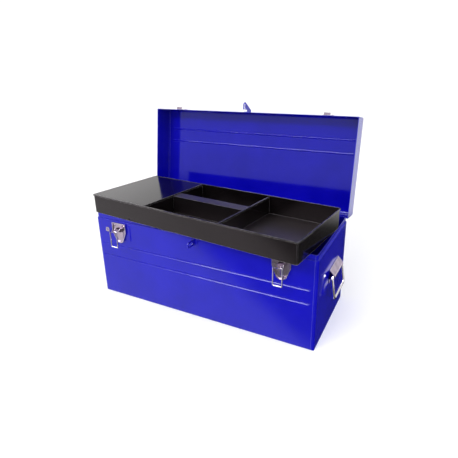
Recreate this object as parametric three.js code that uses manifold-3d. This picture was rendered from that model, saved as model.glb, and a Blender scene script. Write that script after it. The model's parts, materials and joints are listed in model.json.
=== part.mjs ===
// A steel toolbox with a loose lift-out tray, drawn with its lid open and the tray set askew on the rim.
// Millimetres, +Z up, +X to the right, -Y to the front. The origin is the centre of the box's underside.
import * as THREE from "three";
import { mergeVertices } from "three/addons/utils/BufferGeometryUtils.js";
import Module from "manifold-3d";

const wasm = await Module();
wasm.setup();

// ---------- driving dimensions ----------
const SHEET = 1; // thickness of the box, lid and tray sheet
const GAP = 0.3; // clearance between pieces that touch
const DEGREE = Math.PI / 180;

const BODY_LENGTH = 610;
const BODY_DEPTH = 254;
const BODY_HEIGHT = 220; // up to the shoulder that the lid rests on
const CORNER_RADIUS = 6; // upright corners of the end panels
const BEND_RADIUS = 4; // bottom bends of the wrap, on the sheet's middle line
const LIP_INSET = 2.5; // the shoulder's width
const LIP_HEIGHT = 12; // the lip that the lid drops over
const END_FLANGE = 5.5; // how far an end panel reaches in behind the wrap, short of the ribs
const SEAM_X = BODY_LENGTH / 2 - CORNER_RADIUS - 1; // where the wrap meets the end panels

const BEAD_WIDTH = 6;
const BEAD_RISE = 1.8;
const BEAD_HALF_LENGTH = 292;
const BODY_BEAD_HEIGHTS = [116, 150];
const LID_BEAD_OFFSETS = [-70, -33.5]; // from the box's middle line, towards the front

const LID_HEIGHT = 61;
const LID_OVERHANG = 1.5; // lid over body, at the front and the ends
const LID_BEND_RADIUS = 6;
const LID_OPEN_ANGLE = 98;

const HINGE_Y = BODY_DEPTH / 2 + 3.2;
const HINGE_Z = BODY_HEIGHT + 3;
const HINGE_LENGTH = 560;
const KNUCKLE_COUNT = 7;
const KNUCKLE_RADIUS = 2.6;
const PIN_HOLE_RADIUS = 1.4;
const HINGE_PIN_RADIUS = 1.1;
const LEAF_WIDTH = 24;

const TRAY_LENGTH = 598;
const TRAY_WIDTH = 234;
const TRAY_HEIGHT = 49;
const TRAY_RIM = 1.8; // the rolled rim stands this far outside the walls
const TRAY_RIM_DEPTH = 3;
const TRAY_CENTRE = [-4, -39];
const TRAY_TURN = -6.1; // degrees, as the loose tray lies on the rim
const COVER_EDGE = 187; // distances from the tray's left end
const COVER_MARGIN = 1.6; // between the cover and the walls round it
const COVER_PIN_RADIUS = 0.9;
const CROSS_DIVIDER = 406;
const CHANNEL_WIDTH = 30; // the flat-topped middle channel
const CHANNEL_CENTRE_Y = 5;
const LEDGE_TOP = 177; // the stored tray's underside
const LEDGE_WIDTH = 14;
const LEDGE_HALF_LENGTH = 108;

const LATCH_X = 226;
const LATCH_PLATE = 1.2;
const LATCH_TOP = BODY_HEIGHT - 4;
const LATCH_TAPER_Z = 192;
const LATCH_ROUND_Z = 175.5;
const LATCH_HALF_WIDTH = 22;
const LATCH_FOOT_RADIUS = 14;
const LATCH_RIVET_XS = [-15, 15];
const LATCH_RIVET_Z = LATCH_TOP - 8;
const LATCH_RIM = 4.4; // how far the plate's raised edge stands out
const LEVER_PIVOT = [8, 198]; // distance out from the front face, height
const BAIL_PIVOT = [24, 200.5]; // with the lever open
const BAIL_LENGTH = 43.5;
const LEVER_TAB = [40, 214]; // the middle of the lever's finger tab, with the lever open
const LEVER_TAB_RADIUS = 5.5;
const LEVER_TAB_HOLE_RADIUS = 2.2;
const LOOP_HOME = [6, 225.28]; // where the bail's bar lies once it holds the lid
const EAR_INNER = 7.2; // half of the gap between the plate's two cheeks
const EAR_RADIUS = 4;
const LEVER_HALF_WIDTH = 8.6;
const LATCH_BAIL_RADIUS = 1.5;
const LATCH_BAIL_HALF_WIDTH = 10.5;
const LATCH_BAIL_CORNER = 2.6;
const PIVOT_WIRE_RADIUS = 1.65; // bore of the lever's barrels

const HANDLE_Y = 12;
const HANDLE_PIVOT = [8, 138]; // distance out from the end face, height
const HANDLE_LEG = 53;
const HANDLE_TILT = 9; // degrees that the hanging handle leans out
const HANDLE_HALF_WIDTH = 45.5;
const HANDLE_WIRE_RADIUS = 3.8;
const BRACKET_HALF_LENGTH = 41;
const BRACKET_SHEET = 1.2;

const EAR_X = 3; // the padlock ear's left face
const EAR_Z = 206;
const EAR_REACH = 27; // how far the padlock ears stand out
const EAR_HALF_HEIGHT = 7;
const EAR_THICKNESS = 2.5;
const EAR_SLOT_LENGTH = 9; // between the centres of its ends
const EAR_SLOT_RADIUS = 4;

const RIVET_HEAD_RADIUS = 3.4;
const RIVET_SHANK_RADIUS = 1.9;
const RIVET_HEAD_RISE = 1.2;

// ---------- materials ----------
const paint = { color: 0x1a10b4, roughness: 0.25, metalness: 0.1 };
const black = { color: 0x161416, roughness: 0.3, metalness: 0.1 };
const plated = { color: 0xbfb8c2, roughness: 0.3, metalness: 0.9 };

// ---------- solids ----------
function toSolid(geometry) {
  const bare = geometry.clone();
  bare.deleteAttribute("normal");
  bare.deleteAttribute("uv");
  const merged = mergeVertices(bare, 1e-4);
  const mesh = new wasm.Mesh({
    numProp: 3,
    vertProperties: merged.attributes.position.array,
    triVerts: Uint32Array.from(merged.index.array),
  });
  return new wasm.Manifold(mesh);
}

function toGeometry(solid) {
  const mesh = solid.getMesh();
  const geometry = new THREE.BufferGeometry();
  const positions = new Float32Array(mesh.vertProperties);
  geometry.setAttribute("position", new THREE.BufferAttribute(positions, 3));
  geometry.setIndex(new THREE.BufferAttribute(new Uint32Array(mesh.triVerts), 1));
  geometry.computeVertexNormals();
  return geometry;
}

const join = (...pieces) => toGeometry(pieces.map(toSolid).reduce((a, b) => a.add(b)));
const trim = (base, limit) => toGeometry(toSolid(base).intersect(toSolid(limit)));
const cut = (base, ...tools) => toGeometry(tools.map(toSolid).reduce((a, b) => a.subtract(b), toSolid(base)));

// ---------- basic shapes ----------
function box([x0, x1], [y0, y1], [z0, z1]) {
  const geometry = new THREE.BoxGeometry(x1 - x0, y1 - y0, z1 - z0);
  return geometry.translate((x0 + x1) / 2, (y0 + y1) / 2, (z0 + z1) / 2);
}

function cylinder(axis, radius, [from, to], [a, b], sides = 20) {
  const geometry = new THREE.CylinderGeometry(radius, radius, to - from, sides);
  const middle = (from + to) / 2;
  if (axis === "x") return geometry.rotateZ(-Math.PI / 2).translate(middle, a, b);
  if (axis === "y") return geometry.translate(a, middle, b);
  return geometry.rotateX(Math.PI / 2).translate(a, b, middle);
}

function extrude(shape, length) {
  return new THREE.ExtrudeGeometry(shape, { depth: length, bevelEnabled: false, curveSegments: 6 });
}

const ordered = (a, b) => [Math.min(a, b), Math.max(a, b)];
const polygon = (points) => new THREE.Shape(points.map(([a, b]) => new THREE.Vector2(a, b)));

// A (y, z) outline carried along X.
function alongX(shape, [x0, x1]) {
  const turn = new THREE.Matrix4().makeBasis(
    new THREE.Vector3(0, 1, 0),
    new THREE.Vector3(0, 0, 1),
    new THREE.Vector3(1, 0, 0),
  );
  return extrude(shape, x1 - x0).applyMatrix4(turn).translate(x0, 0, 0);
}

// An (x, z) outline carried along Y.
function alongY(shape, [y0, y1]) {
  return extrude(shape, y1 - y0).rotateX(Math.PI / 2).translate(0, y1, 0);
}

const alongZ = (shape, [z0, z1]) => extrude(shape, z1 - z0).translate(0, 0, z0);

function arc([a, b], radius, from, to, steps = 5) {
  return Array.from({ length: steps + 1 }, (_, i) => {
    const angle = (from + ((to - from) * i) / steps) * DEGREE;
    return [a + radius * Math.cos(angle), b + radius * Math.sin(angle)];
  });
}

// The outline of a bent sheet, from its middle line.
function bentSheet(path, thickness) {
  const points = path.map(([a, b]) => new THREE.Vector2(a, b));
  const normalOf = (p, q) => new THREE.Vector2(p.y - q.y, q.x - p.x).normalize();
  const side = (sign) =>
    points.map((point, i) => {
      const before = normalOf(points[Math.max(i - 1, 0)], points[Math.max(i, 1)]);
      const last = points.length - 1;
      const after = normalOf(points[Math.min(i, last - 1)], points[Math.min(i + 1, last)]);
      const mitre = before.clone().add(after).normalize();
      const reach = (sign * thickness) / 2 / mitre.dot(before);
      return [point.x + mitre.x * reach, point.y + mitre.y * reach];
    });
  return polygon([...side(1), ...side(-1).reverse()]);
}

// Round wire through the given points, its corners rounded.
function wire(points, radius, corner, { steps, sides = 8 }) {
  const path = new THREE.CurvePath();
  const stops = points.map((p) => new THREE.Vector3(...p));
  let start = stops[0];
  for (let i = 1; i < stops.length - 1; i++) {
    const into = stops[i].clone().sub(stops[i - 1]).setLength(corner);
    const out = stops[i + 1].clone().sub(stops[i]).setLength(corner);
    const bendStart = stops[i].clone().sub(into);
    const bendEnd = stops[i].clone().add(out);
    path.add(new THREE.LineCurve3(start, bendStart));
    path.add(new THREE.QuadraticBezierCurve3(bendStart, stops[i], bendEnd));
    start = bendEnd;
  }
  path.add(new THREE.LineCurve3(start, stops[stops.length - 1]));
  const section = polygon(arc([0, 0], radius, 0, 360 - 360 / sides, sides - 1));
  return new THREE.ExtrudeGeometry(section, { steps, extrudePath: path, bevelEnabled: false });
}

const toolbox = new THREE.Group();

function add(name, geometry, look, parent = toolbox) {
  const mesh = new THREE.Mesh(geometry, new THREE.MeshStandardMaterial(look));
  mesh.name = name;
  parent.add(mesh);
  return mesh;
}

// ---------- body ----------
const FRONT_Y = -BODY_DEPTH / 2;
const END_X = BODY_LENGTH / 2;
const LIP_TOP = BODY_HEIGHT + LIP_HEIGHT;
const BOTTOM_BEND = [BODY_DEPTH / 2 - SHEET / 2 - BEND_RADIUS, SHEET / 2 + BEND_RADIUS];

// A rib pressed into the sheet, which rises from the face at `face` along `rise` and is hollow on the other
// side, as [ridge, groove] prisms.
function bead(face, rise, centre, swap) {
  const trapezoid = (base, tip, half) => {
    const outline = [[base, -half], [tip, -half + BEAD_RISE], [tip, half - BEAD_RISE], [base, half]];
    const placed = outline.map(([a, b]) => (swap ? [centre + b, a] : [a, centre + b]));
    return polygon(placed);
  };
  const half = BEAD_WIDTH / 2;
  const behind = face - rise * SHEET;
  const ridge = trapezoid(face - rise * 0.5, face + rise * BEAD_RISE, half);
  const groove = trapezoid(behind - rise, behind + rise * BEAD_RISE, half - 0.4);
  return [
    alongX(ridge, [-BEAD_HALF_LENGTH, BEAD_HALF_LENGTH]),
    alongX(groove, [-BEAD_HALF_LENGTH + SHEET, BEAD_HALF_LENGTH - SHEET]),
  ];
}

function addBeads(base, beads) {
  const ribbed = join(base, ...beads.map(([ridge]) => ridge));
  return cut(ribbed, ...beads.map(([, groove]) => groove));
}

function bodyWrap() {
  const wall = -FRONT_Y - SHEET / 2;
  const lip = wall - LIP_INSET;
  const shoulder = BODY_HEIGHT - SHEET / 2;
  const path = [
    [-lip, LIP_TOP],
    [-lip, shoulder],
    [-wall, shoulder],
    ...arc([-BOTTOM_BEND[0], BOTTOM_BEND[1]], BEND_RADIUS, 180, 270),
    ...arc(BOTTOM_BEND, BEND_RADIUS, 270, 360),
    [wall, shoulder],
    [lip, shoulder],
    [lip, LIP_TOP],
  ];
  const wrap = alongX(bentSheet(path, SHEET), [-SEAM_X, SEAM_X]);
  return addBeads(wrap, BODY_BEAD_HEIGHTS.map((z) => bead(FRONT_Y + SHEET, 1, z, false)));
}

// The end panel's plan: a strip that follows the rounded end of the box, `inset` inside its outline.
function endStrip(inset, thickness) {
  const start = SEAM_X + GAP;
  const centreX = END_X - CORNER_RADIUS;
  const centreY = BODY_DEPTH / 2 - CORNER_RADIUS;
  const outer = CORNER_RADIUS - inset;
  const inner = outer - thickness;
  return polygon([
    [start, -centreY - outer],
    ...arc([centreX, -centreY], outer, -90, 0),
    ...arc([centreX, centreY], outer, 0, 90),
    [start, centreY + outer],
    [start, centreY + inner],
    ...arc([centreX, centreY], inner, 90, 0),
    ...arc([centreX, -centreY], inner, 0, -90),
    [start, -centreY - inner],
  ]);
}

// The body's cross-section filled in, to round an end panel's lower corners like the wrap's bends.
function bodyOutline() {
  const [bendY, bendZ] = BOTTOM_BEND;
  const outer = BEND_RADIUS + SHEET / 2;
  return polygon([
    [FRONT_Y, LIP_TOP],
    ...arc([-bendY, bendZ], outer, 180, 270),
    ...arc([bendY, bendZ], outer, 270, 360),
    [-FRONT_Y, LIP_TOP],
  ]);
}

function bodyEnd() {
  const shoulder = BODY_HEIGHT - SHEET;
  const flangeFace = BODY_DEPTH / 2 - SHEET - GAP;
  const flangeStart = SEAM_X - END_FLANGE;
  const linkX = [SEAM_X + GAP, SEAM_X + GAP + SHEET];
  const [bendY, bendZ] = BOTTOM_BEND;
  const floorHalf = bendY - GAP;
  const flangeZ = [bendZ + GAP, shoulder - GAP];
  const pieces = [
    alongZ(endStrip(0, SHEET), [0, BODY_HEIGHT]),
    alongZ(endStrip(0, LIP_INSET + SHEET), [shoulder, BODY_HEIGHT]),
    alongZ(endStrip(LIP_INSET, SHEET), [shoulder, LIP_TOP]),
    box([flangeStart, END_X - SHEET / 2], [-floorHalf, floorHalf], [SHEET + GAP, 2 * SHEET + GAP]),
  ];
  for (const side of [-1, 1]) {
    const skin = ordered(side * flangeFace, side * (flangeFace - SHEET));
    const link = ordered(side * (flangeFace + SHEET), side * (flangeFace - SHEET));
    pieces.push(box([flangeStart, linkX[1]], skin, flangeZ));
    pieces.push(box(linkX, link, flangeZ));
  }
  return trim(join(...pieces), alongX(bodyOutline(), [0, END_X]));
}

function trayLedge() {
  const wall = END_X - SHEET - GAP;
  const path = [[wall - LEDGE_WIDTH, LEDGE_TOP - SHEET / 2], [wall - SHEET / 2, LEDGE_TOP - SHEET / 2]];
  path.push([wall - SHEET / 2, LEDGE_TOP - LEDGE_WIDTH]);
  return alongY(bentSheet(path, SHEET), [-LEDGE_HALF_LENGTH, LEDGE_HALF_LENGTH]);
}

function buildBody() {
  add("body_wrap", bodyWrap(), paint);
  add("body_end_right", bodyEnd(), paint);
  add("body_end_left", bodyEnd(), paint).rotation.z = Math.PI;
  add("tray_ledge_right", trayLedge(), paint);
  add("tray_ledge_left", trayLedge(), paint).rotation.z = Math.PI;
}

// ---------- hinge ----------
// One leaf of the long hinge: a flat strip with every second knuckle, bored for the pin.
function hingeLeaf(firstKnuckle, [z0, z1]) {
  const pitch = HINGE_LENGTH / KNUCKLE_COUNT;
  const faceY = BODY_DEPTH / 2 + GAP;
  const axis = [HINGE_Y, HINGE_Z];
  const spanOf = (i, margin) => [
    -HINGE_LENGTH / 2 + i * pitch + margin,
    -HINGE_LENGTH / 2 + (i + 1) * pitch - margin,
  ];
  const half = HINGE_LENGTH / 2;
  const pieces = [box([-half, half], [faceY, faceY + SHEET], [z0, z1])];
  const reliefs = [cylinder("x", PIN_HOLE_RADIUS, [-half - 1, half + 1], axis, 12)];
  for (let i = 0; i < KNUCKLE_COUNT; i++) {
    if (i % 2 === firstKnuckle) pieces.push(cylinder("x", KNUCKLE_RADIUS, spanOf(i, GAP), axis, 16));
    else reliefs.push(cylinder("x", KNUCKLE_RADIUS + GAP * 2, spanOf(i, -GAP), axis, 16));
  }
  return cut(join(...pieces), ...reliefs);
}

function hingePin() {
  const half = HINGE_LENGTH / 2;
  return cylinder("x", HINGE_PIN_RADIUS, [-half, half], [HINGE_Y, HINGE_Z], 12);
}

// ---------- lid, in its closed place ----------
const LID_FRONT = FRONT_Y - LID_OVERHANG;
const LID_BACK = BODY_DEPTH / 2;
const LID_END = END_X + LID_OVERHANG;
const LID_RIM = BODY_HEIGHT + 0.5;
const LID_TOP = BODY_HEIGHT + LID_HEIGHT;

// The lid's cross-section as a sheet of the given thickness, `inset` inside its outline.
function lidSection(inset, thickness, frontRim, backRim = frontRim) {
  const depth = inset + thickness / 2;
  const bend = LID_BEND_RADIUS - depth;
  return bentSheet(
    [
      [LID_FRONT + depth, frontRim],
      ...arc([LID_FRONT + LID_BEND_RADIUS, LID_TOP - LID_BEND_RADIUS], bend, 180, 90),
      ...arc([LID_BACK - LID_BEND_RADIUS, LID_TOP - LID_BEND_RADIUS], bend, 90, 0),
      [LID_BACK - depth, backRim],
    ],
    thickness,
  );
}

function lidWrap() {
  const reach = LID_END - SHEET - GAP;
  const wrap = alongX(lidSection(0, SHEET, LID_RIM), [-reach, reach]);
  return addBeads(wrap, LID_BEAD_OFFSETS.map((y) => bead(LID_TOP - SHEET, -1, y, true)));
}

function lidEnd(side) {
  const outline = polygon([
    [LID_FRONT, LID_RIM],
    [LID_BACK, LID_RIM],
    ...arc([LID_BACK - LID_BEND_RADIUS, LID_TOP - LID_BEND_RADIUS], LID_BEND_RADIUS, 0, 90),
    ...arc([LID_FRONT + LID_BEND_RADIUS, LID_TOP - LID_BEND_RADIUS], LID_BEND_RADIUS, 90, 180),
  ]);
  const plate = alongX(outline, ordered(side * (LID_END - SHEET), side * LID_END));
  // The flange starts above the hinge's axis at the back, so that it swings clear of the body's lip.
  const flange = lidSection(SHEET + GAP, SHEET, LID_RIM + GAP, HINGE_Z + 1);
  const reach = ordered(side * (LID_END - END_FLANGE), side * (LID_END - SHEET / 2));
  return join(plate, alongX(flange, reach));
}

// The hook that takes the bail's bar, on the lid's front.
function lidCatch() {
  const back = LID_OVERHANG + GAP;
  const [barOut, barZ] = LOOP_HOME;
  const seat = barZ - LATCH_BAIL_RADIUS - 0.4;
  const lip = barOut + LATCH_BAIL_RADIUS + 0.4;
  const out = (distance) => FRONT_Y - distance;
  const plate = box([-14, 14], [out(back + LATCH_PLATE), out(back)], [seat + 4, seat + 26]);
  const neck = box([-8.5, 8.5], [out(back + LATCH_PLATE), out(back)], [seat - LATCH_PLATE, seat + 5]);
  const shelf = box([-8.5, 8.5], [out(lip + 1), out(back)], [seat - LATCH_PLATE, seat]);
  const tip = box([-8.5, 8.5], [out(lip + 1), out(lip)], [seat - LATCH_PLATE, barZ + 1]);
  const holes = [-9.5, 9.5].map((x) => rivetHole(x, back, seat + 17));
  return cut(join(plate, neck, shelf, tip), ...holes);
}

// ---------- rivets ----------
// Rivets lie along Y with their head to the front, `out` from the front face.
const rivetHole = (x, out, z) =>
  cylinder("y", RIVET_SHANK_RADIUS + GAP, [FRONT_Y - out - 4, FRONT_Y - out + 2], [x, z], 14);

function rivet(x, out, z) {
  const seat = FRONT_Y - out - LATCH_PLATE - GAP / 2;
  const shank = cylinder("y", RIVET_SHANK_RADIUS, [seat - 0.5, FRONT_Y - out], [x, z], 14);
  const head = cylinder("y", RIVET_HEAD_RADIUS, [seat - RIVET_HEAD_RISE, seat], [x, z], 14);
  return join(shank, head);
}

// ---------- latches, about their own middle line ----------
const outFromFront = ([distance, z]) => [FRONT_Y - distance, z];

// The funnel-shaped plate's outline, `inset` inside its edge.
function latchOutline(inset) {
  const half = LATCH_HALF_WIDTH - inset;
  return polygon([
    [-half, LATCH_TOP - inset],
    [-half, LATCH_TAPER_Z],
    ...arc([0, LATCH_ROUND_Z], LATCH_FOOT_RADIUS - inset, 190, 350, 10),
    [half, LATCH_TAPER_Z],
    [half, LATCH_TOP - inset],
  ]);
}

function latchBase() {
  const back = FRONT_Y - GAP;
  const dish = alongY(latchOutline(0), [FRONT_Y - LATCH_RIM, back]);
  const hollow = alongY(latchOutline(LATCH_PLATE), [FRONT_Y - LATCH_RIM - 1, back - LATCH_PLATE]);
  const [pivotOut, pivotZ] = LEVER_PIVOT;
  const root = GAP + LATCH_PLATE / 2;
  const earOutline = polygon(
    [
      [root, pivotZ - EAR_RADIUS - 2],
      ...arc([pivotOut, pivotZ], EAR_RADIUS, -90, 90, 8),
      [root, pivotZ + EAR_RADIUS],
    ].map(outFromFront),
  );
  const ears = [-EAR_INNER - 1, EAR_INNER].map((x) => alongX(earOutline, [x, x + 1]));
  const bore = cylinder("x", PIN_HOLE_RADIUS + 0.2, [-12, 12], outFromFront(LEVER_PIVOT), 14);
  const holes = LATCH_RIVET_XS.map((x) => rivetHole(x, GAP, LATCH_RIVET_Z));
  return cut(join(cut(dish, hollow), ...ears), bore, ...holes);
}

function latchPin() {
  const centre = outFromFront(LEVER_PIVOT);
  const reach = EAR_INNER + 1.4;
  return cylinder("x", HINGE_PIN_RADIUS, [-reach, reach], centre, 14);
}

// A strap that leans out from its barrel, carries the bail's barrel and ends in an upright, rounded tab.
function latchLever() {
  const [pivotOut, pivotZ] = LEVER_PIVOT;
  const [bailOut, bailZ] = BAIL_PIVOT;
  const [tabOut, tabZ] = LEVER_TAB;
  const neckHalf = EAR_INNER - GAP;
  const neckPath = [[pivotOut, pivotZ + 2.3], [bailOut, bailZ + 2.1]];
  const tailPath = [[bailOut, bailZ + 2.1], [tabOut - 3, tabZ - 8], [tabOut, tabZ - 5], [tabOut, tabZ]];
  const neck = alongX(bentSheet(neckPath.map(outFromFront), LATCH_PLATE), [-neckHalf, neckHalf]);
  const tailHalf = LEVER_TAB_RADIUS;
  const tail = alongX(bentSheet(tailPath.map(outFromFront), LATCH_PLATE), [-tailHalf, tailHalf]);
  const tabSpan = ordered(FRONT_Y - tabOut - LATCH_PLATE / 2, FRONT_Y - tabOut + LATCH_PLATE / 2);
  const tab = cylinder("y", LEVER_TAB_RADIUS, tabSpan, [0, tabZ], 20);
  const topBarrel = cylinder("x", 2.9, [-neckHalf, neckHalf], outFromFront(LEVER_PIVOT), 16);
  const bailBarrel = cylinder("x", 2.6, [-LEVER_HALF_WIDTH, LEVER_HALF_WIDTH], outFromFront(BAIL_PIVOT), 16);
  const bores = [
    cylinder("x", PIN_HOLE_RADIUS, [-12, 12], outFromFront(LEVER_PIVOT), 14),
    cylinder("x", PIVOT_WIRE_RADIUS, [-12, 12], outFromFront(BAIL_PIVOT), 14),
    cylinder("y", LEVER_TAB_HOLE_RADIUS, [tabSpan[0] - 1, tabSpan[1] + 1], [0, tabZ], 14),
  ];
  return cut(join(neck, tail, tab, topBarrel, bailBarrel), ...bores);
}

function latchBail() {
  const [out, z] = BAIL_PIVOT;
  const y = FRONT_Y - out;
  const half = LATCH_BAIL_HALF_WIDTH;
  const endX = 4;
  const points = [
    [-endX, y, z],
    [-half, y, z],
    [-half, y, z - BAIL_LENGTH],
    [half, y, z - BAIL_LENGTH],
    [half, y, z],
    [endX, y, z],
  ];
  return wire(points, LATCH_BAIL_RADIUS, LATCH_BAIL_CORNER, { steps: 46 });
}

function buildLatches() {
  for (const [side, x] of [["left", -LATCH_X], ["right", LATCH_X]]) {
    const latch = new THREE.Group();
    latch.position.x = x;
    toolbox.add(latch);
    add(`latch_base_${side}`, latchBase(), plated, latch);
    add(`latch_pin_${side}`, latchPin(), plated, latch);
    add(`latch_lever_${side}`, latchLever(), plated, latch);
    add(`latch_bail_${side}`, latchBail(), plated, latch);
    LATCH_RIVET_XS.forEach((offset, i) => {
      add(`latch_rivet_${side}_${i + 1}`, rivet(offset, GAP, LATCH_RIVET_Z), plated, latch);
    });
  }
}

// ---------- padlock ears ----------
const EAR_TIP = FRONT_Y - EAR_REACH + EAR_HALF_HEIGHT;

// The slot that a padlock's shackle goes through.
function shackleSlot() {
  const end = EAR_TIP + EAR_SLOT_LENGTH;
  const outline = [
    ...arc([EAR_TIP, EAR_Z], EAR_SLOT_RADIUS, 90, 270, 8),
    ...arc([end, EAR_Z], EAR_SLOT_RADIUS, -90, 90, 8),
  ];
  return alongX(polygon(outline), [-EAR_REACH, EAR_REACH]);
}

// An upright ear that stands out from the body, with its slot level.
function bodyEar() {
  const face = FRONT_Y - GAP;
  const [x0, x1] = [EAR_X, EAR_X + EAR_THICKNESS];
  const outline = [
    [face, EAR_Z - EAR_HALF_HEIGHT],
    ...arc([EAR_TIP, EAR_Z], EAR_HALF_HEIGHT, 270, 90, 10),
    [face, EAR_Z + EAR_HALF_HEIGHT],
  ];
  const foot = box([x0, x1 + 9], [face - SHEET, face], [EAR_Z - 10, EAR_Z + 10]);
  return cut(join(alongX(polygon(outline), [x0, x1]), foot), shackleSlot());
}

// The lid's ear hangs below the rim, close beside the body's ear.
function lidEar() {
  const face = LID_FRONT - GAP;
  const [x0, x1] = [EAR_X - GAP - EAR_THICKNESS, EAR_X - GAP];
  const low = LID_RIM + 3;
  const high = LID_RIM + 24;
  const outline = [
    [face, low],
    [face, high],
    [face - 6, high],
    ...arc([EAR_TIP, EAR_Z], EAR_HALF_HEIGHT, 150, 270, 8),
    [face - 6, EAR_Z - EAR_HALF_HEIGHT],
    [face - 6, low],
  ];
  const foot = box([x0 - 9, x1], [face - SHEET, face], [low, high]);
  return cut(join(alongX(polygon(outline), [x0, x1]), foot), shackleSlot());
}

function buildLid() {
  const lid = new THREE.Group();
  lid.position.set(0, HINGE_Y, HINGE_Z);
  lid.rotation.x = -LID_OPEN_ANGLE * DEGREE;
  const closed = new THREE.Group();
  closed.position.set(0, -HINGE_Y, -HINGE_Z);
  lid.add(closed);
  toolbox.add(lid);
  add("lid_wrap", lidWrap(), paint, closed);
  add("lid_end_left", lidEnd(-1), paint, closed);
  add("lid_end_right", lidEnd(1), paint, closed);
  add("hinge_leaf_lid", hingeLeaf(1, [HINGE_Z, HINGE_Z + LEAF_WIDTH]), plated, closed);
  add("padlock_ear_lid", lidEar(), paint, closed);
  const catchRivetZ = LOOP_HOME[1] - LATCH_BAIL_RADIUS - 0.4 + 17;
  for (const [side, x] of [["left", -LATCH_X], ["right", LATCH_X]]) {
    add(`lid_catch_${side}`, lidCatch(), plated, closed).position.x = x;
    [-9.5, 9.5].forEach((offset, i) => {
      const head = rivet(offset, LID_OVERHANG + GAP, catchRivetZ);
      add(`catch_rivet_${side}_${i + 1}`, head, plated, closed).position.x = x;
    });
  }
}

// ---------- end handles: +X outwards from the end face ----------
function handleBracket() {
  const [out, z] = HANDLE_PIVOT;
  const flat = GAP + BRACKET_SHEET / 2;
  const path = [[flat, z + 17], [flat, z + 15.5], ...arc(HANDLE_PIVOT, 5.6, 62, -112, 7)];
  path.push([flat, z - 8], [flat, z - 18]);
  const span = [-BRACKET_HALF_LENGTH, BRACKET_HALF_LENGTH];
  const strap = alongY(bentSheet(path, BRACKET_SHEET), span);
  const holes = [-30, 30].map((y) =>
    cylinder("x", RIVET_SHANK_RADIUS + GAP, [-2, out], [y, z - 13]),
  );
  return cut(strap, ...holes);
}

function bracketRivet(y) {
  const z = HANDLE_PIVOT[1] - 13;
  const seat = GAP + BRACKET_SHEET + GAP / 2;
  const shank = cylinder("x", RIVET_SHANK_RADIUS, [GAP, seat + 0.5], [y, z], 14);
  const head = cylinder("x", RIVET_HEAD_RADIUS, [seat, seat + RIVET_HEAD_RISE], [y, z], 14);
  return join(shank, head);
}

function handleBail() {
  const [out, z] = HANDLE_PIVOT;
  const gripOut = out + HANDLE_LEG * Math.sin(HANDLE_TILT * DEGREE);
  const gripZ = z - HANDLE_LEG * Math.cos(HANDLE_TILT * DEGREE);
  const half = HANDLE_HALF_WIDTH;
  const endY = half - 16;
  const points = [
    [out, -endY, z],
    [out, -half, z],
    [gripOut, -half, gripZ],
    [gripOut, half, gripZ],
    [out, half, z],
    [out, endY, z],
  ];
  return wire(points, HANDLE_WIRE_RADIUS, 7, { steps: 48, sides: 10 });
}

function buildHandles() {
  for (const [side, sign] of [["left", -1], ["right", 1]]) {
    const handle = new THREE.Group();
    handle.position.set(sign * END_X, HANDLE_Y, 0);
    if (sign < 0) handle.rotation.z = Math.PI;
    toolbox.add(handle);
    add(`handle_bracket_${side}`, handleBracket(), plated, handle);
    add(`handle_bail_${side}`, handleBail(), plated, handle);
    add(`handle_rivet_${side}_1`, bracketRivet(-30), plated, handle);
    add(`handle_rivet_${side}_2`, bracketRivet(30), plated, handle);
  }
}

// ---------- tray, about its own centre and underside ----------
const PAN_HALF_LENGTH = TRAY_LENGTH / 2 - TRAY_RIM;
const PAN_HALF_WIDTH = TRAY_WIDTH / 2 - TRAY_RIM;
const TRAY_LEFT = -TRAY_LENGTH / 2;
const PAN_INSIDE = [PAN_HALF_LENGTH - SHEET, PAN_HALF_WIDTH - SHEET];
const COVER_HINGE = [PAN_INSIDE[1] - 4, TRAY_HEIGHT - SHEET - 1.8];
const LEFT_DIVIDER_X = TRAY_LEFT + COVER_EDGE - 2;
const RIGHT_DIVIDER_X = TRAY_LEFT + CROSS_DIVIDER;

function roundedBlock(halfX, halfY, radius, span) {
  const outline = polygon([
    ...arc([halfX - radius, -halfY + radius], radius, -90, 0, 3),
    ...arc([halfX - radius, halfY - radius], radius, 0, 90, 3),
    ...arc([-halfX + radius, halfY - radius], radius, 90, 180, 3),
    ...arc([-halfX + radius, -halfY + radius], radius, 180, 270, 3),
  ]);
  return alongZ(outline, span);
}

// The hole for the cover's pin.
const coverBore = (span) => cylinder("x", COVER_PIN_RADIUS + GAP, span, COVER_HINGE, 10);

function trayPan() {
  const walls = roundedBlock(PAN_HALF_LENGTH, PAN_HALF_WIDTH, 5, [0, TRAY_HEIGHT]);
  const rimSpan = [TRAY_HEIGHT - TRAY_RIM_DEPTH, TRAY_HEIGHT];
  const rim = roundedBlock(TRAY_LENGTH / 2, TRAY_WIDTH / 2, 6, rimSpan);
  const hollow = roundedBlock(PAN_INSIDE[0], PAN_INSIDE[1], 4, [SHEET, TRAY_HEIGHT + 1]);
  return cut(join(walls, rim), hollow, coverBore([-TRAY_LENGTH / 2, -PAN_INSIDE[0] + 1]));
}

function crossDivider(x, top) {
  const half = PAN_INSIDE[1] - GAP;
  const sheet = box([x - SHEET / 2, x + SHEET / 2], [-half, half], [SHEET + GAP, top]);
  const hem = box([x - 1.5, x + 1.5], [-half, half], [top - 4, top]);
  return join(sheet, hem);
}

function middleChannel(from, to) {
  const half = CHANNEL_WIDTH / 2 - SHEET / 2;
  const top = TRAY_HEIGHT - 3 - SHEET / 2;
  const path = [
    [CHANNEL_CENTRE_Y - half, SHEET + GAP],
    [CHANNEL_CENTRE_Y - half, top],
    [CHANNEL_CENTRE_Y + half, top],
    [CHANNEL_CENTRE_Y + half, SHEET + GAP],
  ];
  return alongX(bentSheet(path, SHEET), [from, to]);
}

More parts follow.
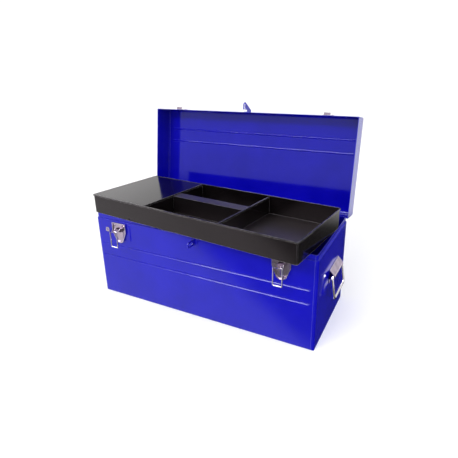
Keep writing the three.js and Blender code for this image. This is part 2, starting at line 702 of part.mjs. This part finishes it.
function trayCover() {
  const left = -PAN_INSIDE[0] + COVER_MARGIN;
  const right = TRAY_LEFT + COVER_EDGE;
  const front = -PAN_INSIDE[1] + COVER_MARGIN;
  const [hingeY, hingeZ] = COVER_HINGE;
  const plateZ = [TRAY_HEIGHT - SHEET, TRAY_HEIGHT];
  const plate = box([left, right - 4], [front, hingeY + 1], plateZ);
  // The edge over the divider stops short of the hinge, so that it turns clear of the divider.
  const edge = box([right - 5, right], [front, hingeY - 3.2], plateZ);
  const curl = cylinder("x", 2, [left, right - 4], COVER_HINGE, 12);
  const web = box([left, right - 4], [hingeY - 1, hingeY + 1], [hingeZ, TRAY_HEIGHT - SHEET / 2]);
  return cut(join(plate, edge, curl, web), coverBore([left - 1, right + 1]));
}

function coverPin() {
  const ends = [-PAN_HALF_LENGTH - TRAY_RIM / 2, LEFT_DIVIDER_X + 2.2];
  return cylinder("x", COVER_PIN_RADIUS, ends, COVER_HINGE, 10);
}

function buildTray() {
  const tray = new THREE.Group();
  tray.position.set(...TRAY_CENTRE, LIP_TOP + 0.4);
  tray.rotation.z = TRAY_TURN * DEGREE;
  toolbox.add(tray);
  add("tray_pan", trayPan(), black, tray);
  const underCover = crossDivider(LEFT_DIVIDER_X, TRAY_HEIGHT - SHEET - GAP);
  const bore = coverBore([LEFT_DIVIDER_X - 3, LEFT_DIVIDER_X + 3]);
  add("tray_divider_left", cut(underCover, bore), black, tray);
  add("tray_divider_right", crossDivider(RIGHT_DIVIDER_X, TRAY_HEIGHT - 2), black, tray);
  add("tray_channel", middleChannel(LEFT_DIVIDER_X + 1.8, RIGHT_DIVIDER_X - 1.8), black, tray);
  add("tray_cover", trayCover(), black, tray);
  add("tray_cover_pin", coverPin(), plated, tray);
}

buildBody();
add("hinge_leaf_body", hingeLeaf(0, [HINGE_Z - LEAF_WIDTH, HINGE_Z]), plated);
add("hinge_pin", hingePin(), plated);
buildLatches();
add("padlock_ear_body", bodyEar(), paint);
buildHandles();
buildLid();
buildTray();

export default toolbox;
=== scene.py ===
import json
import math

import bmesh
import bpy
from mathutils import Matrix, Vector


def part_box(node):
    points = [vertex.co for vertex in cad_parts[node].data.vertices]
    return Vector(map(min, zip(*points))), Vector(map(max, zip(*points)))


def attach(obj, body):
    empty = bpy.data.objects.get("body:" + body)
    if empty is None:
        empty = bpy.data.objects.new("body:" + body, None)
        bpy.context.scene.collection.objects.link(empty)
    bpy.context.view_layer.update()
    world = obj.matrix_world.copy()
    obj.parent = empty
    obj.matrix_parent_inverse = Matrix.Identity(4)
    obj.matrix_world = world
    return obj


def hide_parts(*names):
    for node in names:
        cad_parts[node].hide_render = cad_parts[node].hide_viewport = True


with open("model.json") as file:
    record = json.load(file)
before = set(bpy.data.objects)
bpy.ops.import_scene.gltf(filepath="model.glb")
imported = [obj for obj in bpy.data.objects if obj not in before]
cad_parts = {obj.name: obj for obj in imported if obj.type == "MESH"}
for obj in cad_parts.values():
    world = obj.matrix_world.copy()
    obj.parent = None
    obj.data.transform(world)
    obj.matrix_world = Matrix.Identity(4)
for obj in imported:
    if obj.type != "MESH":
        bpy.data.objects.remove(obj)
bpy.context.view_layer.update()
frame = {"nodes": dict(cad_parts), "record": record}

NODES = frame["nodes"]
MM = 0.001


# ---------- small helpers for shader nodes ----------
class Shader:
    """A material with its Principled shader, and short calls for the nodes that feed it."""

    def __init__(self, name):
        self.material = bpy.data.materials.new(name)
        self.material.use_nodes = True
        self.tree = self.material.node_tree
        self.shader = self.tree.nodes["Principled BSDF"]
        self.place = self.node("ShaderNodeTexCoord").outputs["Object"]

    def node(self, kind, **settings):
        made = self.tree.nodes.new(kind)
        for key, value in settings.items():
            setattr(made, key, value)
        return made

    def link(self, source, target):
        self.tree.links.new(source, target)

    def set(self, **values):
        for key, value in values.items():
            self.shader.inputs[key.replace("_", " ")].default_value = value

    def noise(self, scale, detail, stretch=None, roughness=0.5):
        made = self.node("ShaderNodeTexNoise")
        made.inputs["Scale"].default_value = scale
        made.inputs["Detail"].default_value = detail
        made.inputs["Roughness"].default_value = roughness
        place = self.place
        if stretch:
            mapping = self.node("ShaderNodeMapping")
            mapping.inputs["Scale"].default_value = stretch
            self.link(place, mapping.inputs["Vector"])
            place = mapping.outputs["Vector"]
        self.link(place, made.inputs["Vector"])
        return made.outputs["Fac"]

    def spread(self, value, low, high, start=0.3, end=0.7):
        """Maps start..end of a value to low..high."""
        made = self.node("ShaderNodeMapRange")
        made.inputs["From Min"].default_value = start
        made.inputs["From Max"].default_value = end
        made.inputs["To Min"].default_value = low
        made.inputs["To Max"].default_value = high
        self.link(value, made.inputs["Value"])
        return made.outputs["Result"]

    def mix(self, factor, first, second):
        made = self.node("ShaderNodeMix", data_type="RGBA")
        for key, value in (("A", first), ("B", second)):
            socket = [s for s in made.inputs if s.name == key and s.type == "RGBA"][0]
            if isinstance(value, tuple):
                socket.default_value = value
            else:
                self.link(value, socket)
        self.link(factor, made.inputs["Factor"])
        return [s for s in made.outputs if s.type == "RGBA"][0]

    def math(self, operation, first, second):
        made = self.node("ShaderNodeMath", operation=operation)
        self.link(first, made.inputs[0])
        self.link(second, made.inputs[1])
        return made.outputs["Value"]

    def bump(self, height, distance, strength, below=None):
        made = self.node("ShaderNodeBump")
        made.inputs["Strength"].default_value = strength
        made.inputs["Distance"].default_value = distance
        self.link(height, made.inputs["Height"])
        if below:
            self.link(below, made.inputs["Normal"])
        return made.outputs["Normal"]


def edge_mask(paint, radius):
    """1 along sharp edges, 0 on flat faces."""
    rounded = paint.node("ShaderNodeBevel", samples=4)
    rounded.inputs["Radius"].default_value = radius
    flat = paint.node("ShaderNodeNewGeometry").outputs["Normal"]
    agree = paint.node("ShaderNodeVectorMath", operation="DOT_PRODUCT")
    paint.link(rounded.outputs["Normal"], agree.inputs[0])
    paint.link(flat, agree.inputs[1])
    return paint.spread(agree.outputs["Value"], 1, 0, start=0.86, end=0.99)


DULL_FADE = 0.5 * MM
DULL_ROUGHNESS = 0.22


def enamel(name, deep, pale, edge_sheen, roughness, tint, dull_below):
    """
    Glossy stove enamel on sheet steel, with slight waves, orange peel, rubbed patches, and edges
    lightened in patches: partly thinned enamel, partly a painted highlight.
    Faces lower than `dull_below` have lost some of their gloss.
    """
    paint = Shader(name)
    tone = paint.spread(paint.noise(14, 3), 0, 1)
    body = paint.mix(tone, deep, pale)
    # Edges are lightened towards the edge colour in patches: partly thinned enamel, partly a painted
    # highlight for the bright lines along the sheet edges.
    edge_patchiness = paint.spread(paint.noise(110, 3), 0.45, 0.9, start=0.35, end=0.65)
    edge_lightening = paint.math("MULTIPLY", edge_mask(paint, 0.7 * MM), edge_patchiness)
    paint.link(paint.mix(edge_lightening, body, edge_sheen), paint.shader.inputs["Base Color"])
    rubbed = paint.spread(paint.noise(45, 5, roughness=0.6), roughness * 0.85, roughness * 1.2)
    height = paint.node("ShaderNodeSeparateXYZ")
    paint.link(paint.place, height.inputs["Vector"])
    bottom = dull_below - DULL_FADE
    dulled = paint.spread(height.outputs["Z"], DULL_ROUGHNESS, 0, start=bottom, end=dull_below)
    paint.link(paint.math("ADD", rubbed, dulled), paint.shader.inputs["Roughness"])
    waves = paint.bump(paint.noise(4, 1), 0.5 * MM, 0.4)
    peel = paint.bump(paint.noise(420, 1), 0.01 * MM, 0.5, below=waves)
    paint.link(peel, paint.shader.inputs["Normal"])
    paint.set(Coat_Weight=0.1, Coat_Roughness=0.05, Metallic=0.0, IOR=1.46, Specular_Tint=tint)
    return paint.material


# Near-white colour for metal edges: a painted highlight for the bright rims.
EDGE_GLINT = (0.96, 0.93, 0.97, 1)


def plated(name, colour, roughness):
    """Nickel-plated steel, slightly wavy, cloudy on its faces, with a painted highlight that brightens
    its edges.
    """
    metal = Shader(name)
    dull = tuple(c * 0.8 for c in colour[:3]) + (1,)
    faces = metal.mix(metal.spread(metal.noise(60, 3), 0, 1), dull, colour)
    # Edges take the near-white colour as a painted highlight.
    metal.link(metal.mix(edge_mask(metal, 1.2 * MM), faces, EDGE_GLINT), metal.shader.inputs["Base Color"])
    marks = metal.noise(300, 3, stretch=(1, 1, 12))
    metal.link(metal.spread(marks, roughness * 0.8, roughness * 1.4), metal.shader.inputs["Roughness"])
    waves = metal.bump(metal.noise(55, 1), 0.7 * MM, 0.5)
    metal.link(metal.bump(marks, 0.03 * MM, 0.3, below=waves), metal.shader.inputs["Normal"])
    metal.set(Metallic=1.0)
    return metal.material


TRAY_FLOOR = 234.5 * MM  # just above the inside of the tray's bottom
NOWHERE, EVERYWHERE = 0, 1  # heights below and above the whole object
# The edge colours paint highlights on the sheet edges over slightly thinned enamel; the black's
# near-white edge colour stands in for bright rim lines.
BLUE_LOOK = {
    "deep": (0.002, 0.0015, 0.33, 1),
    "pale": (0.004, 0.0028, 0.39, 1),
    "edge_sheen": (0.2, 0.2, 0.85, 1),
    "roughness": 0.1,
    "tint": (1, 1, 1, 1),
}
BLACK_LOOK = {
    "deep": (0.0022, 0.0016, 0.0018, 1),
    "pale": (0.0048, 0.0038, 0.0043, 1),
    "edge_sheen": (0.62, 0.59, 0.62, 1),
    "roughness": 0.12,
    "tint": (1, 0.84, 0.9, 1),
}
BLUE = enamel("blue_enamel", dull_below=NOWHERE, **BLUE_LOOK)
BLACK = enamel("black_enamel", dull_below=TRAY_FLOOR, **BLACK_LOOK)
RUBBED_BLACK = enamel("rubbed_black_enamel", dull_below=EVERYWHERE, **BLACK_LOOK)
NICKEL = plated("nickel", (0.60, 0.50, 0.62, 1), 0.14)
BRIGHT_WIRE = plated("bright_wire", (0.90, 0.85, 0.91, 1), 0.16)
SLOTS = {"blue_paint": BLUE, "black_paint": BLACK, "plated_steel": NICKEL}
RECORD = frame["record"]
BODY_OF = {node: body for body, nodes in RECORD["behaviour"]["bodies"].items() for node in nodes}
SLOT_OF = {part["node"]: part["material_slot"] for part in RECORD["subparts"]}
SMOOTH_ANGLE = 32  # degrees: sharper edges than this stay sharp in the shading
WIRE_SMOOTH_ANGLE = 60
RIVET_SMOOTH_ANGLE = 50
SOFT_ANGLE = 40


def shade_smooth(mesh, degrees):
    for polygon in mesh.polygons:
        polygon.use_smooth = True
    mesh.set_sharp_from_angle(angle=math.radians(degrees))


def soften(made, width):
    """Breaks the sharp edges of a piece by a small rounding."""
    bevel = made.modifiers.new("soft_edges", "BEVEL")
    bevel.width = width
    bevel.segments = 2
    bevel.limit_method = "ANGLE"
    bevel.angle_limit = math.radians(SOFT_ANGLE)
    bevel.use_clamp_overlap = True
    even_normals(made)


def even_normals(made):
    """Keeps the shading of flat faces flat beside narrow bends."""
    weighted = made.modifiers.new("even_normals", "WEIGHTED_NORMAL")
    weighted.keep_sharp = True
    weighted.weight = 100


for part, slot_name in SLOT_OF.items():
    NODES[part].data.materials.clear()
    NODES[part].data.materials.append(SLOTS[slot_name])
    shade_smooth(NODES[part].data, SMOOTH_ANGLE)
NODES["tray_channel"].data.materials[0] = RUBBED_BLACK


# ---------- finer pieces that stand for CAD nodes ----------
def add_piece(name, mesh, node, degrees=SMOOTH_ANGLE, material=None):
    """Puts a finer mesh in the place of a CAD node, on the same body and in the same slot."""
    made = bpy.data.objects.new(name, mesh)
    bpy.context.scene.collection.objects.link(made)
    mesh.materials.append(material or SLOTS[SLOT_OF[node]])
    shade_smooth(mesh, degrees)
    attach(made, BODY_OF[node])
    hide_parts(node)
    return made


def arc(centre, radius, start, end):
    """Points of a bend, by angles in degrees."""
    points = []
    for i in range(BEND_STEPS + 1):
        angle = math.radians(start + (end - start) * i / BEND_STEPS)
        points.append((centre[0] + radius * math.cos(angle), centre[1] + radius * math.sin(angle)))
    return points


SHEET = 1.0 * MM
BEND_STEPS = 6
BEAD_STEPS = 12
BEAD_WIDTH = 5.6 * MM
BEAD_DEPTH = 1.7 * MM
BEAD_FADE = 7 * MM  # how far a bead takes to reach its depth at each end
BEAD_REACH = 292 * MM


def ribbed_run(start, end, centres):
    """A straight run with a half-round rib pressed in at each centre, as (point, depth) pairs."""
    length = math.dist(start, end)
    run = [(start, 0.0)]
    for centre in centres:
        for i in range(BEAD_STEPS + 1):
            across = -1 + 2 * i / BEAD_STEPS
            share = (centre + across * BEAD_WIDTH / 2) / length
            point = tuple(a + (b - a) * share for a, b in zip(start, end))
            run.append((point, math.cos(across * math.pi / 2)))
    run.append((end, 0.0))
    return run


def wrap_sheet(name, run, inward, reach, matrix):
    """A bent sheet along X, from (point, depth) pairs. Its ribs are pressed in along `inward`."""
    fade = [BEAD_REACH - BEAD_FADE * (1 - i / BEND_STEPS) for i in range(BEND_STEPS + 1)]
    stations = [-reach] + [-x for x in reversed(fade)] + fade + [reach]
    work = bmesh.new()
    rows = []
    for x in stations:
        taper = min(max((BEAD_REACH - abs(x)) / BEAD_FADE, 0), 1)
        press = BEAD_DEPTH * math.sin(taper * math.pi / 2)
        row = []
        for (y, z), depth in run:
            place = Vector((x, y + inward[0] * depth * press, z + inward[1] * depth * press))
            row.append(work.verts.new(matrix @ place))
        rows.append(row)
    for first, second in zip(rows, rows[1:]):
        for i in range(len(run) - 1):
            work.faces.new((first[i], first[i + 1], second[i + 1], second[i]))
    mesh = bpy.data.meshes.new(name)
    work.to_mesh(mesh)
    work.free()
    return mesh


def thickened(mesh, thickness):
    """The sheet as a closed shell, with its thickness on the inside."""
    held = bpy.data.objects.new(mesh.name, mesh)
    bpy.context.scene.collection.objects.link(held)
    solid = held.modifiers.new("sheet", "SOLIDIFY")
    solid.thickness = thickness
    solid.offset = -1
    solid.use_even_offset = True
    shell = bpy.data.meshes.new_from_object(held.evaluated_get(bpy.context.evaluated_depsgraph_get()))
    bpy.data.objects.remove(held)
    return shell


HALF_DEPTH = 127 * MM
SHOULDER_Z = 220 * MM
LIP_Z = 232 * MM
LIP_Y = 124.5 * MM
BOTTOM_BEND = 4.5 * MM
BODY_BEADS = [150 * MM, 116 * MM]
BODY_REACH = 298 * MM


def plain(points):
    return [(point, 0.0) for point in points]


def body_wrap():
    bend_y = HALF_DEPTH - BOTTOM_BEND
    beads = [SHOULDER_Z - z for z in BODY_BEADS]
    front = ribbed_run((-HALF_DEPTH, SHOULDER_Z), (-HALF_DEPTH, BOTTOM_BEND), beads)
    run = plain([(-LIP_Y, LIP_Z), (-LIP_Y, SHOULDER_Z)]) + front
    run += plain(arc((-bend_y, BOTTOM_BEND), BOTTOM_BEND, 180, 270)[1:])
    run += plain(arc((bend_y, BOTTOM_BEND), BOTTOM_BEND, 270, 360))
    run += plain([(HALF_DEPTH, SHOULDER_Z), (LIP_Y, SHOULDER_Z), (LIP_Y, LIP_Z)])
    mesh = wrap_sheet("body_wrap_sheet", run, (1, 0), BODY_REACH, Matrix())
    even_normals(add_piece("body_wrap_sheet", thickened(mesh, SHEET), "body_wrap"))


LID_FRONT = -128.5 * MM
LID_RIM = 220.5 * MM
LID_TOP = 281 * MM
LID_BEND = 6 * MM
LID_BEADS = [-70 * MM, -33.5 * MM]
LID_REACH = 305.2 * MM
HINGE = next(joint for joint in RECORD["behaviour"]["joints"] if joint["name"] == "lid_hinge")
LID_OPEN = (
    Matrix.Translation(HINGE["pos_m"])
    @ Matrix.Rotation(-math.radians(HINGE["range_deg"][1]), 4, "X")
    @ Matrix.Translation([-value for value in HINGE["pos_m"]])
)


def lid_wrap():
    """The lid's front, top and back, drawn closed and swung open. It runs from the back to the front."""
    front_bend = (LID_FRONT + LID_BEND, LID_TOP - LID_BEND)
    back_bend = (HALF_DEPTH - LID_BEND, LID_TOP - LID_BEND)
    start, end = (back_bend[0], LID_TOP), (front_bend[0], LID_TOP)
    run = plain([(HALF_DEPTH, LID_RIM)] + arc(back_bend, LID_BEND, 0, 90)[:-1])
    run += ribbed_run(start, end, [start[0] - y for y in reversed(LID_BEADS)])
    run += plain(arc(front_bend, LID_BEND, 90, 180)[1:] + [(LID_FRONT, LID_RIM)])
    mesh = wrap_sheet("lid_wrap_sheet", run[::-1], (0, -1), LID_REACH, LID_OPEN)
    mesh.flip_normals()
    even_normals(add_piece("lid_wrap_sheet", thickened(mesh, SHEET), "lid_wrap"))


body_wrap()
lid_wrap()


# ---------- round wires ----------
def circle(across, up, count):
    """Evenly spaced unit vectors round a circle."""
    angles = [2 * math.pi * k / count for k in range(count)]
    return [across * math.cos(angle) + up * math.sin(angle) for angle in angles]


def join_rings(work, rings):
    """Faces between each ring of vertices and the next."""
    for first, second in zip(rings, rings[1:]):
        for k in range(len(first)):
            after = (k + 1) % len(first)
            work.faces.new((first[k], first[after], second[after], second[k]))


CORNER_STEPS = 8
WIRE_SIDES = 20


def rounded_route(points, corner):
    """A route through the points, with a round bend at each inner one."""
    route = [points[0]]
    for before, point, after in zip(points, points[1:], points[2:]):
        into = (before - point).normalized() * corner
        out = (after - point).normalized() * corner
        for i in range(CORNER_STEPS + 1):
            share = i / CORNER_STEPS
            route.append(point + into * (1 - share) ** 2 + out * share**2)
    route.append(points[-1])
    return route


def tube(name, route, radius):
    """A round tube along an open route, closed at its ends."""
    work = bmesh.new()
    rings = []
    across = None
    for i, place in enumerate(route):
        ahead = (route[min(i + 1, len(route) - 1)] - route[max(i - 1, 0)]).normalized()
        if across is None:
            across = ahead.orthogonal().normalized()
        across = (across - ahead * across.dot(ahead)).normalized()
        up = ahead.cross(across)
        rings.append([work.verts.new(place + turn * radius) for turn in circle(across, up, WIRE_SIDES)])
    join_rings(work, rings)
    work.faces.new(rings[0][::-1])
    work.faces.new(rings[-1])
    mesh = bpy.data.meshes.new(name)
    work.to_mesh(mesh)
    work.free()
    return mesh


LATCH_WIRE = 1.5 * MM
LATCH_WIRE_CORNER = 2.4 * MM
LATCH_WIRE_END = 4 * MM
HANDLE_WIRE = 3.8 * MM
HANDLE_WIRE_CORNER = 7 * MM
HANDLE_WIRE_END = 16 * MM


def latch_wire(side):
    low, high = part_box(f"latch_bail_{side}")
    middle, y = (low.x + high.x) / 2, (low.y + high.y) / 2
    half = (high.x - low.x) / 2 - LATCH_WIRE
    top, bottom = high.z - LATCH_WIRE, low.z + LATCH_WIRE
    spots = [
        (-LATCH_WIRE_END, top),
        (-half, top),
        (-half, bottom),
        (half, bottom),
        (half, top),
        (LATCH_WIRE_END, top),
    ]
    route = rounded_route([Vector((middle + x, y, z)) for x, z in spots], LATCH_WIRE_CORNER)
    mesh = tube(f"latch_wire_{side}", route, LATCH_WIRE)
    add_piece(f"latch_wire_{side}", mesh, f"latch_bail_{side}", WIRE_SMOOTH_ANGLE, BRIGHT_WIRE)


def handle_wire(side, sign):
    """A handle that leans out. Its grip is at the outer side of its box, its pivot at the inner side."""
    low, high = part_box(f"handle_bail_{side}")
    inner, outer = (low.x, high.x) if sign > 0 else (high.x, low.x)
    pivot_x, grip_x = inner + sign * HANDLE_WIRE, outer - sign * HANDLE_WIRE
    middle = (low.y + high.y) / 2
    half = (high.y - low.y) / 2 - HANDLE_WIRE
    top, bottom = high.z - HANDLE_WIRE, low.z + HANDLE_WIRE
    spots = [
        (pivot_x, -half + HANDLE_WIRE_END, top),
        (pivot_x, -half, top),
        (grip_x, -half, bottom),
        (grip_x, half, bottom),
        (pivot_x, half, top),
        (pivot_x, half - HANDLE_WIRE_END, top),
    ]
    route = rounded_route([Vector((x, middle + y, z)) for x, y, z in spots], HANDLE_WIRE_CORNER)
    mesh = tube(f"handle_wire_{side}", route, HANDLE_WIRE)
    add_piece(f"handle_wire_{side}", mesh, f"handle_bail_{side}", WIRE_SMOOTH_ANGLE, BRIGHT_WIRE)


for side, sign in (("left", -1), ("right", 1)):
    latch_wire(side)
    handle_wire(side, sign)


# ---------- domed rivets ----------
RIVET_HEAD = 3.4 * MM
RIVET_RISE = 1.3 * MM
RIVET_SIDES = 24
RIVET_LEVELS = 6


def domed_rivet(name, node, centre, outward):
    """A low round-topped head. `outward` is the way it faces, and `centre` is on its seat."""
    work = bmesh.new()
    across = outward.orthogonal().normalized()
    up = outward.cross(across)
    rings = []
    for level in range(RIVET_LEVELS):
        angle = math.radians(90 * level / RIVET_LEVELS)
        middle = centre + outward * RIVET_RISE * math.sin(angle)
        radius = RIVET_HEAD * math.cos(angle)
        turns = circle(across, up, RIVET_SIDES)
        rings.append([work.verts.new(middle + turn * radius) for turn in turns])
    tip = work.verts.new(centre + outward * RIVET_RISE)
    join_rings(work, rings)
    for k in range(RIVET_SIDES):
        work.faces.new((rings[-1][k], rings[-1][(k + 1) % RIVET_SIDES], tip))
    work.faces.new(rings[0][::-1])
    mesh = bpy.data.meshes.new(name)
    work.to_mesh(mesh)
    work.free()
    add_piece(name, mesh, node, RIVET_SMOOTH_ANGLE)


def add_rivets(kind, side, outward):
    """Heads for the two rivets of a latch or a handle bracket, as high as their CAD rivets."""
    for number in (1, 2):
        node = f"{kind}_rivet_{side}_{number}"
        low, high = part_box(node)
        reach = abs(outward.dot(high - low)) / 2
        seat = (low + high) / 2 + outward * (reach - RIVET_RISE)
        domed_rivet(f"{kind}_rivet_head_{side}_{number}", node, seat, outward)


for side in ("left", "right"):
    add_rivets("latch", side, Vector((0, -1, 0)))
for side, sign in (("left", -1), ("right", 1)):
    add_rivets("handle", side, Vector((sign, 0, 0)))

# ---------- softened edges of the CAD nodes ----------
SOFT_EDGES = {
    0.25 * MM: ["latch_base_left", "latch_base_right", "latch_lever_left", "latch_lever_right"]
    + ["handle_bracket_left", "handle_bracket_right", "lid_catch_left", "lid_catch_right"],
    0.3 * MM: ["body_end_left", "body_end_right", "lid_end_left", "lid_end_right", "tray_cover"]
    + ["tray_channel", "tray_divider_left", "tray_divider_right", "tray_pan"]
    + ["padlock_ear_body", "padlock_ear_lid"],
}
for width, nodes in SOFT_EDGES.items():
    for node in nodes:
        soften(NODES[node], width)


# ---------- camera ----------
FOCAL = 388.47 / 458  # focal length and centre as shares of the frame's width
CENTRE = (248.19 / 458, 209.0 / 458)
CAMERA_PLACE = (0.4898, -0.8223, 0.5786)
CAMERA_YAW, CAMERA_PITCH, CAMERA_ROLL = 26.24, 19.14, -0.32


def add_camera():
    camera = bpy.data.cameras.new("camera")
    camera.sensor_width = 36
    camera.lens = FOCAL * camera.sensor_width
    camera.shift_x = 0.5 - CENTRE[0]
    camera.shift_y = CENTRE[1] - 0.5
    camera.clip_start, camera.clip_end = 0.01, 50
    held = bpy.data.objects.new("camera", camera)
    bpy.context.scene.collection.objects.link(held)
    turn = (
        Matrix.Rotation(math.radians(CAMERA_YAW), 4, "Z")
        @ Matrix.Rotation(math.radians(90 - CAMERA_PITCH), 4, "X")
        @ Matrix.Rotation(math.radians(CAMERA_ROLL), 4, "Z")
    )
    held.matrix_world = Matrix.Translation(CAMERA_PLACE) @ turn
    bpy.context.scene.camera = held


# ---------- studio ----------
FLOOR_REACH = 40
FLOOR_WHITE = (0.92, 0.92, 0.92, 1)
FLOOR_GLOW = 0.16  # lifts the floor towards a white backdrop


def add_floor():
    mesh = bpy.data.meshes.new("floor")
    corners = [(x * FLOOR_REACH, y * FLOOR_REACH, 0) for x, y in ((-1, -1), (1, -1), (1, 1), (-1, 1))]
    mesh.from_pydata(corners, [], [(0, 1, 2, 3)])
    floor = bpy.data.objects.new("floor", mesh)
    bpy.context.scene.collection.objects.link(floor)
    floor.visible_glossy = False
    pale = Shader("floor")
    pale.set(Base_Color=FLOOR_WHITE, Roughness=0.9)
    pale.set(Emission_Color=(1, 1, 1, 1), Emission_Strength=FLOOR_GLOW)
    mesh.materials.append(pale.material)


def add_softbox(name, place, target, size, power):
    light = bpy.data.lights.new(name, "AREA")
    light.shape = "RECTANGLE"
    light.size, light.size_y = size
    light.energy = power
    held = bpy.data.objects.new(name, light)
    held.location = place
    held.rotation_euler = (Vector(target) - Vector(place)).to_track_quat("-Z", "Y").to_euler()
    held.visible_glossy = False
    bpy.context.scene.collection.objects.link(held)
    return held


class Sky:
    """The studio's surroundings as brightness by direction, built from smooth steps across planes."""

    def __init__(self, world):
        self.tree = world.node_tree
        self.direction = self.tree.nodes.new("ShaderNodeTexCoord").outputs["Generated"]

    def step(self, way, start, end):
        """0 to 1 as the direction turns towards `way`."""
        dot = self.tree.nodes.new("ShaderNodeVectorMath")
        dot.operation = "DOT_PRODUCT"
        dot.inputs[1].default_value = Vector(way).normalized()
        self.tree.links.new(self.direction, dot.inputs[0])
        ramp = self.tree.nodes.new("ShaderNodeMapRange")
        ramp.interpolation_type = "SMOOTHSTEP"
        ramp.inputs["From Min"].default_value = start
        ramp.inputs["From Max"].default_value = end
        self.tree.links.new(dot.outputs["Value"], ramp.inputs["Value"])
        return ramp.outputs["Result"]

    def blend(self, factor, first, second):
        made = self.tree.nodes.new("ShaderNodeMix")
        for name, value in (("Factor", factor), ("A", first), ("B", second)):
            if isinstance(value, float):
                made.inputs[name].default_value = value
            else:
                self.tree.links.new(value, made.inputs[name])
        return made.outputs["Result"]


def add_studio():
    world = bpy.data.worlds.new("studio")
    world.use_nodes = True
    bpy.context.scene.world = world
    sky = Sky(world)
    # Below the horizon: a pale table top to the front left, a dark room to the front right and behind.
    table = sky.blend(sky.step((-0.45, 0.63, -0.64), 0.002, 0.032), 0.14, 0.8)
    front = sky.blend(sky.step((0, 0, 1), -0.3, -0.16), table, 0.12)
    back = sky.blend(sky.step((0, 0, 1), -0.37, -0.31), 0.03, 0.92)
    low = sky.blend(sky.step((0.35, 0.94, 0), -0.35, 0.1), front, back)
    # Above it: bright walls, brightest at the left, and less bright ahead.
    high = sky.blend(sky.step((-1, 0, 0), 0.55, 0.74), 0.68, 1.0)
    around = sky.blend(sky.step((0, 0, 1), -0.035, 0.0), low, high)
    # Edges that face up catch a ceiling lamp that shows only in reflections.
    # The camera sees a plain white backdrop.
    rays = world.node_tree.nodes.new("ShaderNodeLightPath").outputs
    lamp = sky.blend(sky.step((0, 0, 1), 0.62, 0.7), around, 7.0)
    light = sky.blend(rays["Is Camera Ray"], sky.blend(rays["Is Glossy Ray"], around, lamp), 1.0)
    world.node_tree.links.new(light, world.node_tree.nodes["Background"].inputs["Color"])
    world.node_tree.nodes["Background"].inputs["Strength"].default_value = 1.1
    add_softbox("key", (-1.2, -2.2, 2.0), (0, 0.1, 0.3), (1.8, 1.4), 20)
    add_softbox("fill", (2.4, -0.4, 1.6), (0, 0, 0.2), (1.2, 1.2), 16)
    strip = add_softbox("strip", (-0.5, -2.3, 1.9), (0, 0, 0.2), (2.2, 0.3), 34)
    strip.visible_glossy = True
    bpy.context.scene.view_settings.view_transform = "Standard"


add_camera()
add_floor()
add_studio()
